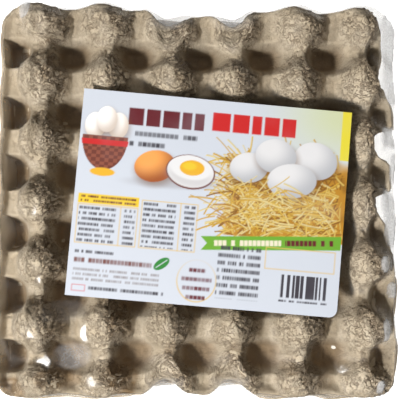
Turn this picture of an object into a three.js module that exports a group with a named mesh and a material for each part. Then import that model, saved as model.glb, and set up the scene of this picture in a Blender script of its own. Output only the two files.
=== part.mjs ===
// Shrink-wrapped pack of thirty eggs: a moulded-pulp tray of eggs, covered by a second tray that is
// turned a quarter round, both sealed in tight clear film, with a printed card lying on the posts.
// Millimetres, +Z up, origin on the floor under the middle of the pack.
import * as THREE from 'three';
import { mergeVertices } from 'three/addons/utils/BufferGeometryUtils.js';

// Trays: square, with five cells one way and six the other, and a post at every cell corner.
const TRAY_SIDE = 295;
const TRAY_HEIGHT = 48;
const STACK_OVERLAP = 1;
const WIDE_PITCH = 48;
const WIDE_CELLS = 5;
const CLOSE_PITCH = 45.5;
const CLOSE_CELLS = 6;
const CORNER_RADIUS = 17;

// Relief of the cover tray, under the film that is drawn a little way into its cells. Shares are
// of the height from a cell's floor to a post's crown.
const PACK_HEIGHT = 2 * TRAY_HEIGHT - STACK_OVERLAP;
const CELL_DEPTH = 24;
const WELL_HALF_WIDTH = 16;
const WELL_HALF_LENGTH = 13.5;
const WELL_EDGE = [0.5, 1.12];
const END_SADDLE_SHARE = 0.5;
const SIDE_SADDLE_SHARE = 0.66;
const POST_RADIUS = 24.5;
const OUTER_POST_RADIUS = 19;
const CROWN_UNEVENNESS = 1.6;
const FRONT_ROW_SHARE = 0.48;
const RIM_WALL_WIDTH = 9;
const COVER_RIM_Z = 77;
const POST_RIM_Z = 86;
const RIM_WAVE = 2.6;

// Finger notches, a pair in each of the two edges that run along five cells.
const NOTCH_DEPTH = 9.5;
const NOTCH_HALF_WIDTH = 19;
const EDGE_BAND = 46;
const NOTCH_DROP = 0.4;

// Underside: the flat bottoms of the thirty cups of the base tray, with shallow hollows between
// them where the film spans.
const FOOT_SHARE = 0.52;
const UNDERSIDE_DEPTH = 5;
const UNDERSIDE_RIM_Z = 2.4;

// Wall below the base tray's rim, from the floor up: how far it lies inside the outline, its
// height, and how much of the finger notches shows there. Above it the film spans the two rims.
const BASE_RINGS = [
  { inset: 18, z: UNDERSIDE_RIM_Z, notch: 0 },
  { inset: 8.5, z: 6.6, notch: 0.2 },
  { inset: 3.5, z: 12, notch: 0.6 },
];
const BASE_RIM_Z = 31;
const FILM_RINGS = 4;
const WAIST_DEPTH = 4.5;
const WAIST_NOTCH = 0.7;
const WALL_LEVELS = BASE_RINGS.length + FILM_RINGS;

// Printed card.
const CARD_LENGTH = 196;
const CARD_WIDTH = 150;
const CARD_THICKNESS = 0.5;
const CARD_TURN = THREE.MathUtils.degToRad(-4.6);
const CARD_CENTRE = { x: 7.5, y: -2 };
const CARD_GAP = 0.3;
const CARD_ROUND_RADIUS = 6;

// Steps of the surface: this many to a pitch on top, half as many below.
const STEPS_PER_PITCH = 8;
const CLOSE_MARGIN_STEPS = 2;
const SIDE_STEPS = CLOSE_CELLS * STEPS_PER_PITCH + 2 * CLOSE_MARGIN_STEPS;
const WIDE_MARGIN_STEPS = (SIDE_STEPS - WIDE_CELLS * STEPS_PER_PITCH) / 2;

const HALF_SIDE = TRAY_SIDE / 2;
const CLOSE_SPAN = (CLOSE_CELLS * CLOSE_PITCH) / 2;
const WIDE_SPAN = (WIDE_CELLS * WIDE_PITCH) / 2;

const { smoothstep, lerp, clamp } = THREE.MathUtils;

// One axis of a tray: its pitch, its number of cells and the steps beyond its outer posts.
const wideAxis = { pitch: WIDE_PITCH, span: WIDE_SPAN, marginSteps: WIDE_MARGIN_STEPS };
const closeAxis = { pitch: CLOSE_PITCH, span: CLOSE_SPAN, marginSteps: CLOSE_MARGIN_STEPS };

// Place of a step along an axis, so that steps meet every post and every cell middle.
function placeOfStep(step, axis) {
  const fromEdge = Math.min(step, SIDE_STEPS - step);
  const margin = HALF_SIDE - axis.span;
  const distance = fromEdge < axis.marginSteps
    ? HALF_SIDE - (margin * fromEdge) / axis.marginSteps
    : axis.span - ((fromEdge - axis.marginSteps) * axis.pitch) / STEPS_PER_PITCH;
  return step * 2 < SIDE_STEPS ? -distance : distance;
}

// How near a place is to a line of posts: 0 in the middle of a cell, 1 on the posts.
function nearPosts(place, axis) {
  const beyond = Math.abs(place) - axis.span;
  if (beyond > 0) return axis === wideAxis ? clamp(1 - (2 * beyond) / axis.pitch, 0, 1) : 1;
  return Math.abs(1 - 2 * ((-beyond / axis.pitch) % 1));
}

// Repeatable unevenness of one post, from 0 to 1.
function unevenness(column, row) {
  const wave = Math.sin(column * 12.9898 + row * 78.233) * 43758.5453;
  return wave - Math.floor(wave);
}

// Finger notches: 1 in the middle of a notch, falling smoothly to 0 at its sides.
function notchAt(along) {
  const offset = Math.abs(Math.abs(along) - WIDE_PITCH / 2);
  return 0.5 + 0.5 * Math.cos(Math.PI * clamp(offset / NOTCH_HALF_WIDTH, 0, 1));
}

// How far an edge lies inside the tray's square: a wave between its posts, and the notches.
function edgeInset(along, axis, notched) {
  const wave = RIM_WAVE * (1 - smoothstep(nearPosts(along, axis), 0, 1));
  return notched ? wave + NOTCH_DEPTH * notchAt(along) : wave / 2;
}

// Rounds the plan's corners: a square ring about the corner's centre becomes a quarter circle.
function roundCorner(x, y) {
  const inner = HALF_SIDE - CORNER_RADIUS;
  const dx = Math.abs(x) - inner;
  const dy = Math.abs(y) - inner;
  if (dx <= 0 || dy <= 0) return { x, y };
  const scale = Math.max(dx, dy) / Math.hypot(dx, dy);
  return { x: Math.sign(x) * (inner + dx * scale), y: Math.sign(y) * (inner + dy * scale) };
}

// Moves a place inward near an edge by that edge's inset, leaving the middle of the tray alone.
function drawIn(place, inset) {
  const band = clamp((Math.abs(place) - HALF_SIDE + EDGE_BAND) / EDGE_BAND, 0, 1);
  return place - Math.sign(place) * inset * band;
}

// Height share between the base tray's cups: 0 over a cup and 1 where four cups meet.
function hollowShare(x, y) {
  const nearX = nearPosts(x, closeAxis);
  const nearY = nearPosts(y, wideAxis);
  return Math.max(smoothstep(nearX, FOOT_SHARE, 1), smoothstep(nearY, FOOT_SHARE, 1));
}

// A post's dome: 1 at its crown and 0 at its foot. Past the outer posts it falls more steeply.
function domeShare(x, y, column, row) {
  const away = Math.hypot(x - (column + 0.5) * WIDE_PITCH, y - row * CLOSE_PITCH);
  const inner = 1 - Math.min(1, away / POST_RADIUS) ** 3;
  const outer = 1 - Math.min(1, away / OUTER_POST_RADIUS) ** 4;
  return lerp(inner, outer, smoothstep(Math.abs(x), WIDE_SPAN - 2, WIDE_SPAN + 6));
}

// 0 on a cell's floor and 1 outside the cell.
function wellWall(x, y) {
  const across = (nearPosts(x, wideAxis) * WIDE_PITCH) / 2 / WELL_HALF_WIDTH;
  const along = (nearPosts(y, closeAxis) * CLOSE_PITCH) / 2 / WELL_HALF_LENGTH;
  return smoothstep(Math.cbrt(across ** 3 + along ** 3), ...WELL_EDGE);
}

// Height share of the saddles: lower between the posts of a row than between those of a column.
function saddleShare(x, y) {
  const alongColumn = smoothstep(nearPosts(x, wideAxis) - nearPosts(y, closeAxis), -0.6, 0.6);
  return lerp(END_SADDLE_SHARE, SIDE_SADDLE_SHARE, alongColumn);
}

// Height of the film-covered cover tray: posts, saddles and cells, falling to the rim at the edges.
function coverHeight(x, y) {
  const column = Math.round(clamp(x, -WIDE_SPAN, WIDE_SPAN) / WIDE_PITCH - 0.5);
  const row = Math.round(clamp(y, -CLOSE_SPAN, CLOSE_SPAN) / CLOSE_PITCH);
  const edgeRow = smoothstep(Math.abs(y), CLOSE_SPAN - CLOSE_PITCH / 2, CLOSE_SPAN);
  const atFront = smoothstep(-y, CLOSE_SPAN - CLOSE_PITCH / 2, CLOSE_SPAN);
  const notch = notchAt(x);
  const lowest = PACK_HEIGHT - CELL_DEPTH;
  const crown = 1 - (CROWN_UNEVENNESS * unevenness(column, row)) / CELL_DEPTH;
  const plateau = lerp(saddleShare(x, y), crown, domeShare(x, y, column, row));
  const kept = (1 - NOTCH_DROP * notch * edgeRow) * lerp(1, FRONT_ROW_SHARE, atFront);
  const share = plateau * wellWall(x, y) * kept;
  const towardSide = smoothstep(Math.abs(x), HALF_SIDE - RIM_WALL_WIDTH, HALF_SIDE);
  const towardEnd = smoothstep(Math.abs(y), CLOSE_SPAN + 1, HALF_SIDE);
  const surfaceZ = lerp(lowest + CELL_DEPTH * share, endRimZ(x, y), towardEnd);
  return lerp(surfaceZ, COVER_RIM_Z, towardSide * (1 - towardEnd));
}

// Height of the rim along the two ends: at one of them it rises to each post.
function endRimZ(x, y) {
  const atPost = smoothstep(nearPosts(x, wideAxis), 0.1, 0.9) * (1 - notchAt(x));
  return y > 0 ? lerp(COVER_RIM_Z, POST_RIM_Z, atPost) : COVER_RIM_Z;
}

function topPoint(stepX, stepY) {
  const x = placeOfStep(stepX, wideAxis);
  const y = placeOfStep(stepY, closeAxis);
  const z = coverHeight(x, y);
  const plan = roundCorner(x, y);
  return new THREE.Vector3(
    drawIn(plan.x, edgeInset(y, closeAxis, false)),
    drawIn(plan.y, edgeInset(x, wideAxis, true)),
    z,
  );
}

// The underside takes every second step, and its cells run the other way round.
function bottomPoint(stepX, stepY) {
  const x = placeOfStep(stepX - (stepX % 2), closeAxis);
  const y = placeOfStep(stepY - (stepY % 2), wideAxis);
  const hollow = hollowShare(x, y);
  const towardSide = smoothstep(Math.abs(x), CLOSE_SPAN - CLOSE_PITCH / 4, HALF_SIDE);
  const towardEnd = smoothstep(Math.abs(y), WIDE_SPAN - WIDE_PITCH / 4, HALF_SIDE);
  const z = lerp(UNDERSIDE_DEPTH * hollow, UNDERSIDE_RIM_Z, Math.max(towardSide, towardEnd));
  const plan = roundCorner(x, y);
  return new THREE.Vector3(drawIn(plan.x, BASE_RINGS[0].inset), drawIn(plan.y, BASE_RINGS[0].inset), z);
}

// Ring of the wall at a level: the base tray's up to its rim, and above it the film's.
function wallRing(level) {
  if (level < BASE_RINGS.length) return { ...BASE_RINGS[level], above: 0 };
  const above = (level - BASE_RINGS.length) / FILM_RINGS;
  const waist = Math.sin(Math.PI * above);
  return {
    inset: WAIST_DEPTH * waist,
    z: BASE_RIM_Z,
    notch: 1 - (1 - WAIST_NOTCH) * waist,
    above,
  };
}

// Height of the cover tray's rim at a step of the outline.
function coverRimZ(stepX, stepY) {
  return coverHeight(placeOfStep(stepX, wideAxis), placeOfStep(stepY, closeAxis));
}

// The wall passes from the base tray's outline below to the cover tray's outline above.
function wallPoint(stepX, stepY, level) {
  const { inset, z: ringZ, notch, above } = wallRing(level);
  const x = lerp(placeOfStep(stepX, closeAxis), placeOfStep(stepX, wideAxis), above);
  const y = lerp(placeOfStep(stepY, wideAxis), placeOfStep(stepY, closeAxis), above);
  const z = lerp(ringZ, coverRimZ(stepX, stepY), above);
  const insetX = lerp(edgeInset(y, wideAxis, true), edgeInset(y, closeAxis, false), above);
  const insetY = lerp(edgeInset(x, closeAxis, false), edgeInset(x, wideAxis, true), above);
  const plan = roundCorner(x, y);
  return new THREE.Vector3(drawIn(plan.x, inset + notch * insetX), drawIn(plan.y, inset + notch * insetY), z);
}

// Bends a stepped box into a form, and drops the faces that the coarser underside shrinks to nothing.
function bendBox(levels, pointOf) {
  const box = new THREE.BoxGeometry(SIDE_STEPS, SIDE_STEPS, levels, SIDE_STEPS, SIDE_STEPS, levels);
  const place = box.attributes.position;
  for (let i = 0; i < place.count; i += 1) {
    const stepX = Math.round(place.getX(i) + SIDE_STEPS / 2);
    const stepY = Math.round(place.getY(i) + SIDE_STEPS / 2);
    const level = Math.round(place.getZ(i) + levels / 2);
    const point = pointOf(stepX, stepY, level);
    place.setXYZ(i, point.x, point.y, point.z);
  }
  box.deleteAttribute('normal');
  box.deleteAttribute('uv');
  const joined = mergeVertices(box, 1e-3);
  const corners = Array.from(joined.index.array);
  const kept = [];
  for (let i = 0; i < corners.length; i += 3) {
    const [a, b, c] = corners.slice(i, i + 3);
    if (a !== b && b !== c && c !== a) kept.push(a, b, c);
  }
  joined.setIndex(kept);
  joined.computeVertexNormals();
  return joined;
}

function packPoint(stepX, stepY, level) {
  if (level === WALL_LEVELS) return topPoint(stepX, stepY);
  if (level === 0) return bottomPoint(stepX, stepY);
  return wallPoint(stepX, stepY, level);
}

function makeWrappedPack() {
  const pulp = new THREE.MeshStandardMaterial({ color: 0xa8977c, roughness: 0.9, metalness: 0 });
  const pack = new THREE.Mesh(bendBox(WALL_LEVELS, packPoint), pulp);
  pack.name = 'wrapped_pack';
  return pack;
}

// The card is cut square at three corners, and its lower right corner is rounded.
function makeLabelCard() {
  const right = CARD_LENGTH / 2;
  const top = CARD_WIDTH / 2;
  const outline = new THREE.Shape();
  outline.moveTo(-right, -top);
  outline.lineTo(right - CARD_ROUND_RADIUS, -top);
  outline.absarc(right - CARD_ROUND_RADIUS, -top + CARD_ROUND_RADIUS, CARD_ROUND_RADIUS, -Math.PI / 2, 0);
  outline.lineTo(right, top);
  outline.lineTo(-right, top);
  outline.closePath();
  const sheet = new THREE.ExtrudeGeometry(outline, { depth: CARD_THICKNESS, bevelEnabled: false });
  const print = new THREE.MeshStandardMaterial({ color: 0xdfe2ea, roughness: 0.45, metalness: 0 });
  const card = new THREE.Mesh(sheet, print);
  card.name = 'label_card';
  card.position.set(CARD_CENTRE.x, CARD_CENTRE.y, PACK_HEIGHT + CARD_GAP);
  card.rotation.z = CARD_TURN;
  return card;
}

const group = new THREE.Group();
group.add(makeWrappedPack(), makeLabelCard());

export default group;
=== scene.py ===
"""Shrink-wrapped pack of thirty eggs: base tray, eggs, cover tray, clear film, printed card."""

import itertools
import math
import random

import bpy
import numpy as np
from mathutils import Matrix, Vector


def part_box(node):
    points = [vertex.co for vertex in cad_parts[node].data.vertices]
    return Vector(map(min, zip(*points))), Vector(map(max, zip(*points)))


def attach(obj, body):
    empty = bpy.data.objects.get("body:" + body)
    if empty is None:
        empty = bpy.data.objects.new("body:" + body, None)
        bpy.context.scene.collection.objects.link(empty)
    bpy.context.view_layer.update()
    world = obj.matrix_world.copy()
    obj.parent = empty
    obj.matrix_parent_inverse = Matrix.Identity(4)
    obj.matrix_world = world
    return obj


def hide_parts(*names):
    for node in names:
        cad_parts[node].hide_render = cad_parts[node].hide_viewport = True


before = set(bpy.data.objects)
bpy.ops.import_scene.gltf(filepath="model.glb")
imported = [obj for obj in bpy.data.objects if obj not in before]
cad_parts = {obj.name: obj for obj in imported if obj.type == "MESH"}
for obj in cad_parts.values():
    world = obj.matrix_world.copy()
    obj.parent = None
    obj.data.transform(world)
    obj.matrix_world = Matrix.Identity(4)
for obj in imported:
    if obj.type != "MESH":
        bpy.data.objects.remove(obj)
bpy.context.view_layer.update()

MM = 0.001
PACK_LOW, PACK_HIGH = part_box("wrapped_pack")
CARD_LOW, CARD_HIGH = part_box("label_card")

# Trays: five cells one way, six the other, with a post at every cell corner.
FILM_GAP = 1.2 * MM
HALF_TRAY = (PACK_HIGH.x - PACK_LOW.x) / 2 - FILM_GAP
WIDE_PITCH = 48 * MM
WIDE_CELLS = 5
CLOSE_PITCH = 45.5 * MM
CLOSE_CELLS = 6
WIDE_SPAN = WIDE_PITCH * WIDE_CELLS / 2
CLOSE_SPAN = CLOSE_PITCH * CLOSE_CELLS / 2
CORNER_RADIUS = 17 * MM
TRAY_HEIGHT = 47.4 * MM
PULP_THICKNESS = 2.4 * MM
CREASE_DEPTH = 3.3 * MM
BASE_LIFT = 0.5 * MM
TOP_GAP = 0.6 * MM
COVER_LIFT = PACK_HIGH.z - TRAY_HEIGHT - TOP_GAP
HIGHEST_CRAG = PULP_THICKNESS + TRAY_HEIGHT - 3.2 * MM

# Form of a tray. Saddles are shares of its height, and rows of four numbers go left, right, near
# and far: a cell's half sizes and a post's radii in millimetres. A cell's wall starts and ends at
# shares of its half size.
BASE_FORM = {
    "side_saddle": 0.68,
    "end_saddle": 0.46,
    "cell": (16.5, 16.5, 14, 14),
    "wall_start": (0.62, 0.62, 0.62, 0.62),
    "wall_end": 1.12,
    "post": (26, 26, 26, 26),
    "roundness": 2.5,
}
COVER_FORM = {
    "side_saddle": 0.52,
    "end_saddle": 0.42,
    "cell": (12.6, 17.6, 13, 11.5),
    "wall_start": (0.36, 0.28, 0.43, 0.42),
    "wall_end": 1.38,
    "post": (22.5, 21, 27, 23.5),
    "roundness": 1.9,
}
# Shares of a tray's height: a cell's floor, the rims and the low near row of posts.
WELL_FLOOR = 0.01
RIM_SHARE = 0.60
POST_RIM_SHARE = 0.82
LOW_RIM_SHARE = 0.54
LOW_ROW_SHARE = 0.72

# Cells, outermost posts and rims. The crags gather on one side of each post.
WELL_ROUNDNESS = 3.0
HALF_CELL_WALL = (0.78, 1.12)
OUTER_POST_RADIUS = 20 * MM
OUTER_POST_ROUNDNESS = 6.0
OUTER_POST_SHIFT = 1 * MM
POST_LEAN = (4.5 * MM, 1.2 * MM)
LOW_EDGE_INSET = 3 * MM
RIM_WALL = 8 * MM
LEFT_RIM_WALL = 5.5 * MM
WIDE_RIM_WALL = 13 * MM
CRAG_GATHER = 0.3
CRAG_SIDE = math.radians(20)

# From near to far in the cover tray the cells' far walls get less steep, the cells shorter and
# the saddles higher: where this begins and ends, and by how much.
FAR_WALL_BAND = (-10 * MM, 90 * MM)
FAR_WALL_EASE = 0.28
FAR_CELL_BAND = (40 * MM, 120 * MM)
FAR_CELL_SHRINK = 0.38
FAR_SADDLE_RISE = 0.08

# The edges draw in between posts, and at two finger notches in each side that runs along five
# cells. The film bridges the inmost part of the cover tray's notches. The base tray is dented
# in the middle of its near side, and the film a little with it.
RIM_WAVE = 3.0 * MM
MIDDLE_INSET = 4.5 * MM
NOTCH_DEPTH = 9.8 * MM
BRIDGED_NOTCH = 4.5 * MM
BASE_DENT = 10 * MM
FILM_DENT = 3.5 * MM
NOTCH_HALF_WIDTH = 19 * MM
EDGE_BAND = 46 * MM
NOTCH_DROP = 0.34
WARP = 1.0 * MM

# How far the flange on the right is folded: places along the side in millimetres, and shares.
# Folded fully it is drawn in by a share of its width, and what lies past its ledge goes down.
FLANGE_DRAW = 0.48
FLANGE_LEDGE = 16 * MM
FLANGE_FOLD = ((-38, 0), (-30, 0.3), (-15, 0.55), (-5, 0.9), (6, 0.95), (9.5, 0.1), (16, 0.2),
               (30, 0.3), (36, 0.8), (42, 1), (53, 1), (56.5, 0), (66, 0.1), (75, 0.25), (84, 0.45),
               (94, 0.7), (102, 0.7), (146, 0.6))

# Patches of painted shade on the cover's pulp, where its rims and cells lie in shade: middle
# # across and up, half sizes in millimetres, how strong.
SHADE_PATCHES = (
    (-56, -128, 13, 18, 1.0),
    (-56, -88, 10, 9, 0.8),
    (-137, -139, 13, 11, 1.0),
    (-104, -130, 19, 8, 0.9),
    (-18, -110, 7, 9, 0.5),
    (29, -110, 7, 9, 0.5),
    (68, -121, 9, 7, 0.5),
    (92, -132, 9, 6, 0.5),
)

EGG_HEIGHT = 55 * MM
EGG_RADIUS = 21.3 * MM
EGG_TAPER = 0.16
EGG_SLIMNESS = 1.03
EGG_SEAT = 0.4 * MM
EGG_LEAN = 4

CARD_LENGTH = 196 * MM
CARD_WIDTH = 150 * MM
CARD_TURN = math.radians(-4.6)
CARD_THICKNESS = 0.4 * MM
CARD_CORNER = 6 * MM
CARD_STEPS = (340, 260)
CARD_BOW = 0.3 * MM
CARD_SINK = 0.36 * MM


# ---- small tools

def smooth_step(value, low, high):
    """0 below low, 1 above high and a smooth rise between, for numbers and arrays."""
    share = np.clip((value - low) / (high - low), 0.0, 1.0)
    return share * share * (3 - 2 * share)


def mix(first, second, share):
    return first + (second - first) * share


def places_of(piece, name="co"):
    """The places of the piece's vertices, or what else has an x, y and z there."""
    places = np.empty(len(piece.data.vertices) * 3)
    piece.data.vertices.foreach_get(name, places)
    return places.reshape(-1, 3)


def set_places(piece, places):
    piece.data.vertices.foreach_set("co", places.reshape(-1))
    piece.data.update()


def normals_of(piece):
    return places_of(piece, "normal")


def only(piece):
    """Deselects everything, then selects the piece and makes it active."""
    bpy.ops.object.select_all(action="DESELECT")
    piece.select_set(True)
    bpy.context.view_layer.objects.active = piece


def new_grid(name, size_x, size_y, steps_x, steps_y):
    bpy.ops.object.select_all(action="DESELECT")
    bpy.ops.mesh.primitive_grid_add(x_subdivisions=steps_x, y_subdivisions=steps_y, size=1)
    piece = bpy.context.object
    piece.name = piece.data.name = name
    piece.scale = (size_x, size_y, 1)
    bpy.ops.object.transform_apply(location=True, rotation=True, scale=True)
    return piece


def shade_smooth(piece):
    only(piece)
    bpy.ops.object.shade_smooth()


def keep(piece, name, values):
    """Keeps a number at each of the piece's vertices, under a name."""
    piece.data.attributes.new(name, "FLOAT", "POINT").data.foreach_set("value", values)


def kept_numbers(piece, name):
    numbers = np.empty(len(piece.data.vertices), np.float32)
    piece.data.attributes[name].data.foreach_get("value", numbers)
    return numbers


def edit_rim():
    """Goes into edit mode with the free edges of the active piece selected."""
    bpy.ops.object.mode_set(mode="EDIT")
    bpy.ops.mesh.select_mode(type="EDGE")
    bpy.ops.mesh.select_all(action="DESELECT")
    bpy.ops.mesh.select_non_manifold()


def close_rim(upper, under):
    """Joins an upper and a lower face into one closed piece by a wall round their rims."""
    only(upper)
    under.select_set(True)
    bpy.ops.object.join()
    edit_rim()
    bpy.ops.mesh.bridge_edge_loops()
    bpy.ops.object.mode_set(mode="OBJECT")
    upper.data.materials.clear()


def scatter(cells, salt):
    """A number from 0 to 1 for each whole-numbered place, the same at every run."""
    mixed = cells[:, 0] * 73856093 ^ cells[:, 1] * 19349663 ^ cells[:, 2] * 83492791 ^ salt * 40503
    mixed = (mixed ^ (mixed >> 13)) * 1274126177 & 0x7FFFFFFF
    return ((mixed ^ (mixed >> 16)) & 0xFFFFF) / 0xFFFFF


def scatter_at(column, row, salt):
    """The same for columns and rows, which are rounded down."""
    column = np.floor(column)
    cells = np.stack([column, np.floor(row) + 0 * column, 0 * column], 1)
    return scatter(cells.astype(np.int64), salt)


def lumps(places, size, salt):
    """Smooth noise from about -1 to 1. Its lumps are as long as the size, which may be one number
    or one for each axis."""
    spots = places / np.array(size)
    cells = np.floor(spots).astype(np.int64)
    inside = spots - cells
    fade = inside * inside * (3 - 2 * inside)
    total = np.zeros(len(places))
    for corner in itertools.product((0, 1), repeat=3):
        lean = [scatter(cells + corner, salt * 3 + axis) * 2 - 1 for axis in range(3)]
        weight = np.prod(np.where(corner, fade, 1 - fade), axis=1)
        total += weight * (np.stack(lean, 1) * (inside - corner)).sum(1)
    return total * 1.7


# ---- finishes

class Wire:
    """A socket of a finish that takes part in arithmetic."""

    def __init__(self, finish, socket):
        self.finish = finish
        self.socket = socket

    def math(self, operation, *others):
        return self.finish.add("Math", {"operation": operation}, [self, *others])

    def __add__(self, other):
        return self.math("ADD", other)

    def __sub__(self, other):
        return self.math("SUBTRACT", other)

    def __rsub__(self, other):
        return self.finish.add("Math", {"operation": "SUBTRACT"}, [other, self])

    def __mul__(self, other):
        return self.math("MULTIPLY", other)

    __radd__ = __add__

    def rise(self, low, high):
        """0 below low, 1 above high, smooth between."""
        return self.finish.add(
            "MapRange",
            {"interpolation_type": "SMOOTHSTEP"},
            {"Value": self, "From Min": low, "From Max": high},
        )

    def most(self, other):
        return self.math("MAXIMUM", other)


class Finish:
    """A material under construction, made of nodes."""

    def __init__(self, name):
        self.material = bpy.data.materials.new(name)
        self.material.use_nodes = True
        self.tree = self.material.node_tree
        self.tree.nodes.clear()

    def feed(self, socket, value):
        if isinstance(value, Wire):
            self.tree.links.new(value.socket, socket)
        elif isinstance(value, tuple) and len(value) == 3 and socket.type == "RGBA":
            socket.default_value = (*value, 1)
        else:
            socket.default_value = value

    def add(self, kind, settings=None, sockets=(), out=0):
        """Adds a node: first its settings, then its sockets in order or by name."""
        node = self.tree.nodes.new("ShaderNode" + kind)
        for key, value in (settings or {}).items():
            setattr(node, key, value)
        pairs = sockets.items() if isinstance(sockets, dict) else enumerate(sockets)
        for key, value in pairs:
            self.feed(node.inputs[key], value)
        return Wire(self, node.outputs[out])

    def place(self):
        return self.add("TexCoord", out="Object")

    def kept(self, name, out="Fac"):
        """The number or colour kept under a name at each place of the mesh."""
        settings = {"attribute_name": name, "attribute_type": "GEOMETRY"}
        return self.add("Attribute", settings, out=out)

    def blend(self, first, second, share):
        """One colour over another by a share."""
        sockets = {"Factor": share, 6: first, 7: second}
        return self.add("Mix", {"data_type": "RGBA"}, sockets, out=2)

    def over(self, share, first, second):
        """One shader over another by a share."""
        return self.add("MixShader", {}, [share, first, second])

    def grain(self, where, scale, detail=3.0, rough=0.55, stretch=(1, 1, 1)):
        """Noise of about 0.5 whose spots are 1 / scale metres across."""
        stretched = self.add("Mapping", {}, {"Vector": where, "Scale": stretch})
        return self.add(
            "TexNoise", {},
            {"Vector": stretched, "Scale": scale, "Detail": detail, "Roughness": rough},
        )

    def bump(self, height, distance, strength=1.0):
        return self.add(
            "Bump", {}, {"Height": height, "Distance": distance, "Strength": strength},
            out="Normal",
        )

    def show(self, shader):
        output = self.tree.nodes.new("ShaderNodeOutputMaterial")
        self.tree.links.new(shader.socket, output.inputs["Surface"])
        return self.material

    def principled(self, sockets):
        return self.show(self.add("BsdfPrincipled", {}, sockets))


PULP_MID = (0.42, 0.345, 0.247)
PULP_PALE = (0.49, 0.412, 0.308)
PULP_DARK = (0.33, 0.26, 0.185)
PULP_CREASE_SHADE = (0.115, 0.062, 0.026)
PULP_SHADE = (0.19, 0.112, 0.044)
PULP_FLECK = (0.19, 0.135, 0.08)
RING_BEND = 22 * MM
TURN_STRETCH = 0.42


def moulded_pulp():
    """Grey-brown paper pulp: mottled, flecked with fibres, with painted shade in its creases and
    cracks, low in its cells, in shade patches and on the shaded side of its crags.
    """
    finish = Finish("moulded_pulp")
    where = finish.place()
    crag = finish.kept("crag")
    crease = finish.kept("crease")
    painted_shade = finish.kept("painted_shade")
    cloud = finish.grain(where, 55, 2)
    mottle = finish.grain(where, 420, 3)
    fleck = finish.grain(where, 1500, 2, stretch=(1, 0.35, 1))
    x, y = (finish.add("SeparateXYZ", {}, [where], out=axis) for axis in (0, 1))
    bent = finish.kept("away") + (finish.grain(where, 90, 2) - 0.5) * RING_BEND
    about_post = finish.add("CombineXYZ", {}, [bent, x * TURN_STRETCH, y * TURN_STRETCH])
    flake = finish.grain(about_post, 330, 4, 0.62)
    chip = finish.grain(about_post, 800, 3, 0.6)
    broken = finish.grain(where, 150, 2).rise(0.36, 0.56)
    gap = 1 - (flake * 2 - 1).math("ABSOLUTE").rise(0.0, 0.11)
    chink = 1 - (chip * 2 - 1).math("ABSOLUTE").rise(0.0, 0.10)
    gap = (gap * broken).most(chink * (1.1 - broken) * 0.7)
    colour = finish.blend(PULP_MID, PULP_PALE, cloud.rise(0.35, 0.7))
    colour = finish.blend(colour, PULP_DARK, mottle.rise(0.5, 0.8) * 0.45)
    colour = finish.blend(colour, PULP_FLECK, fleck.rise(0.68, 0.76) * 0.5)
    # Painted shade: darker on the shaded side of the crags, low in the cells and in shade patches.
    colour = finish.blend(colour, PULP_SHADE, (crag.rise(0.4, 1.0) * 0.24).most(painted_shade * 0.66))
    # Painted shade in the creases and in the cracks between the flakes.
    colour = finish.blend(colour, PULP_CREASE_SHADE, crease.rise(0.5, 0.95) * 0.8)
    colour = finish.blend(colour, PULP_CREASE_SHADE, gap * crag.rise(0.02, 0.5) * 0.64)
    felt = finish.grain(where, 900, 4, 0.7)
    height = felt * 0.3 + mottle * 0.2 + flake * crag * 0.9 - gap * (crag * 1.1 + 0.05)
    return finish.principled({
        "Base Color": colour,
        "Roughness": 0.85 + mottle * 0.1,
        "Specular IOR Level": 0.25,
        "Normal": finish.bump(height, 1.8 * MM, 1.0),
    })


def egg_shell():
    """White eggshell with faint warm clouds and fine pores."""
    finish = Finish("egg_shell")
    where = finish.place()
    cloud = finish.grain(where, 60, 2)
    pores = finish.grain(where, 1800, 2)
    colour = finish.blend((0.86, 0.83, 0.77), (0.78, 0.74, 0.66), cloud.rise(0.4, 0.75))
    return finish.principled({
        "Base Color": colour,
        "Roughness": 0.42 + cloud * 0.1,
        "Normal": finish.bump(pores, 0.08 * MM, 0.5),
    })


def clear_film():
    """Tight clear film: it shines at a slant, less where it clings, and is milky in patches, partly
    from its folds and partly a painted sheen: a white diffuse layer where reflected light shows.
    """
    finish = Finish("clear_film")
    where = finish.place()
    ripple = finish.grain(where, 28, 2, stretch=(1, 0.5, 1))
    fine = finish.grain(where, 160, 2)
    grains = finish.grain(where, 650, 2)
    skew = finish.bump(ripple * 0.8 + fine * 0.16 + grains * 0.035, 1.2 * MM, 0.4)
    dulled = finish.kept("cling")
    shine = finish.add("Fresnel", {}, {"IOR": 1.45, "Normal": skew}) * (1 - dulled * 0.75)
    sharp, soft, dull = (
        finish.add("BsdfGlossy", {}, {"Color": (1, 1, 1), "Roughness": rough, "Normal": skew})
        for rough in (0.24, 0.42, 0.5)
    )
    gloss = finish.over(dulled, finish.over(0.5, sharp, soft), dull)
    clear = finish.add("BsdfTransparent", {}, {"Color": (0.985, 0.988, 0.99)})
    milk = finish.add("BsdfTranslucent", {}, {"Color": (0.82, 0.83, 0.85)})
    # Painted sheen: a white diffuse layer in the milky patches stands in for reflected light.
    milky_sheen = finish.add("BsdfDiffuse", {}, {"Color": (0.74, 0.75, 0.77)})
    specks = fine.rise(0.3, 0.7) * 0.25
    veil = finish.kept("haze_and_sheen") * (0.55 + specks + grains.rise(0.35, 0.65) * 0.25)
    body = finish.over(veil, clear, finish.over(0.5, milk, milky_sheen))
    return finish.show(finish.over(shine, body, gloss))


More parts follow.
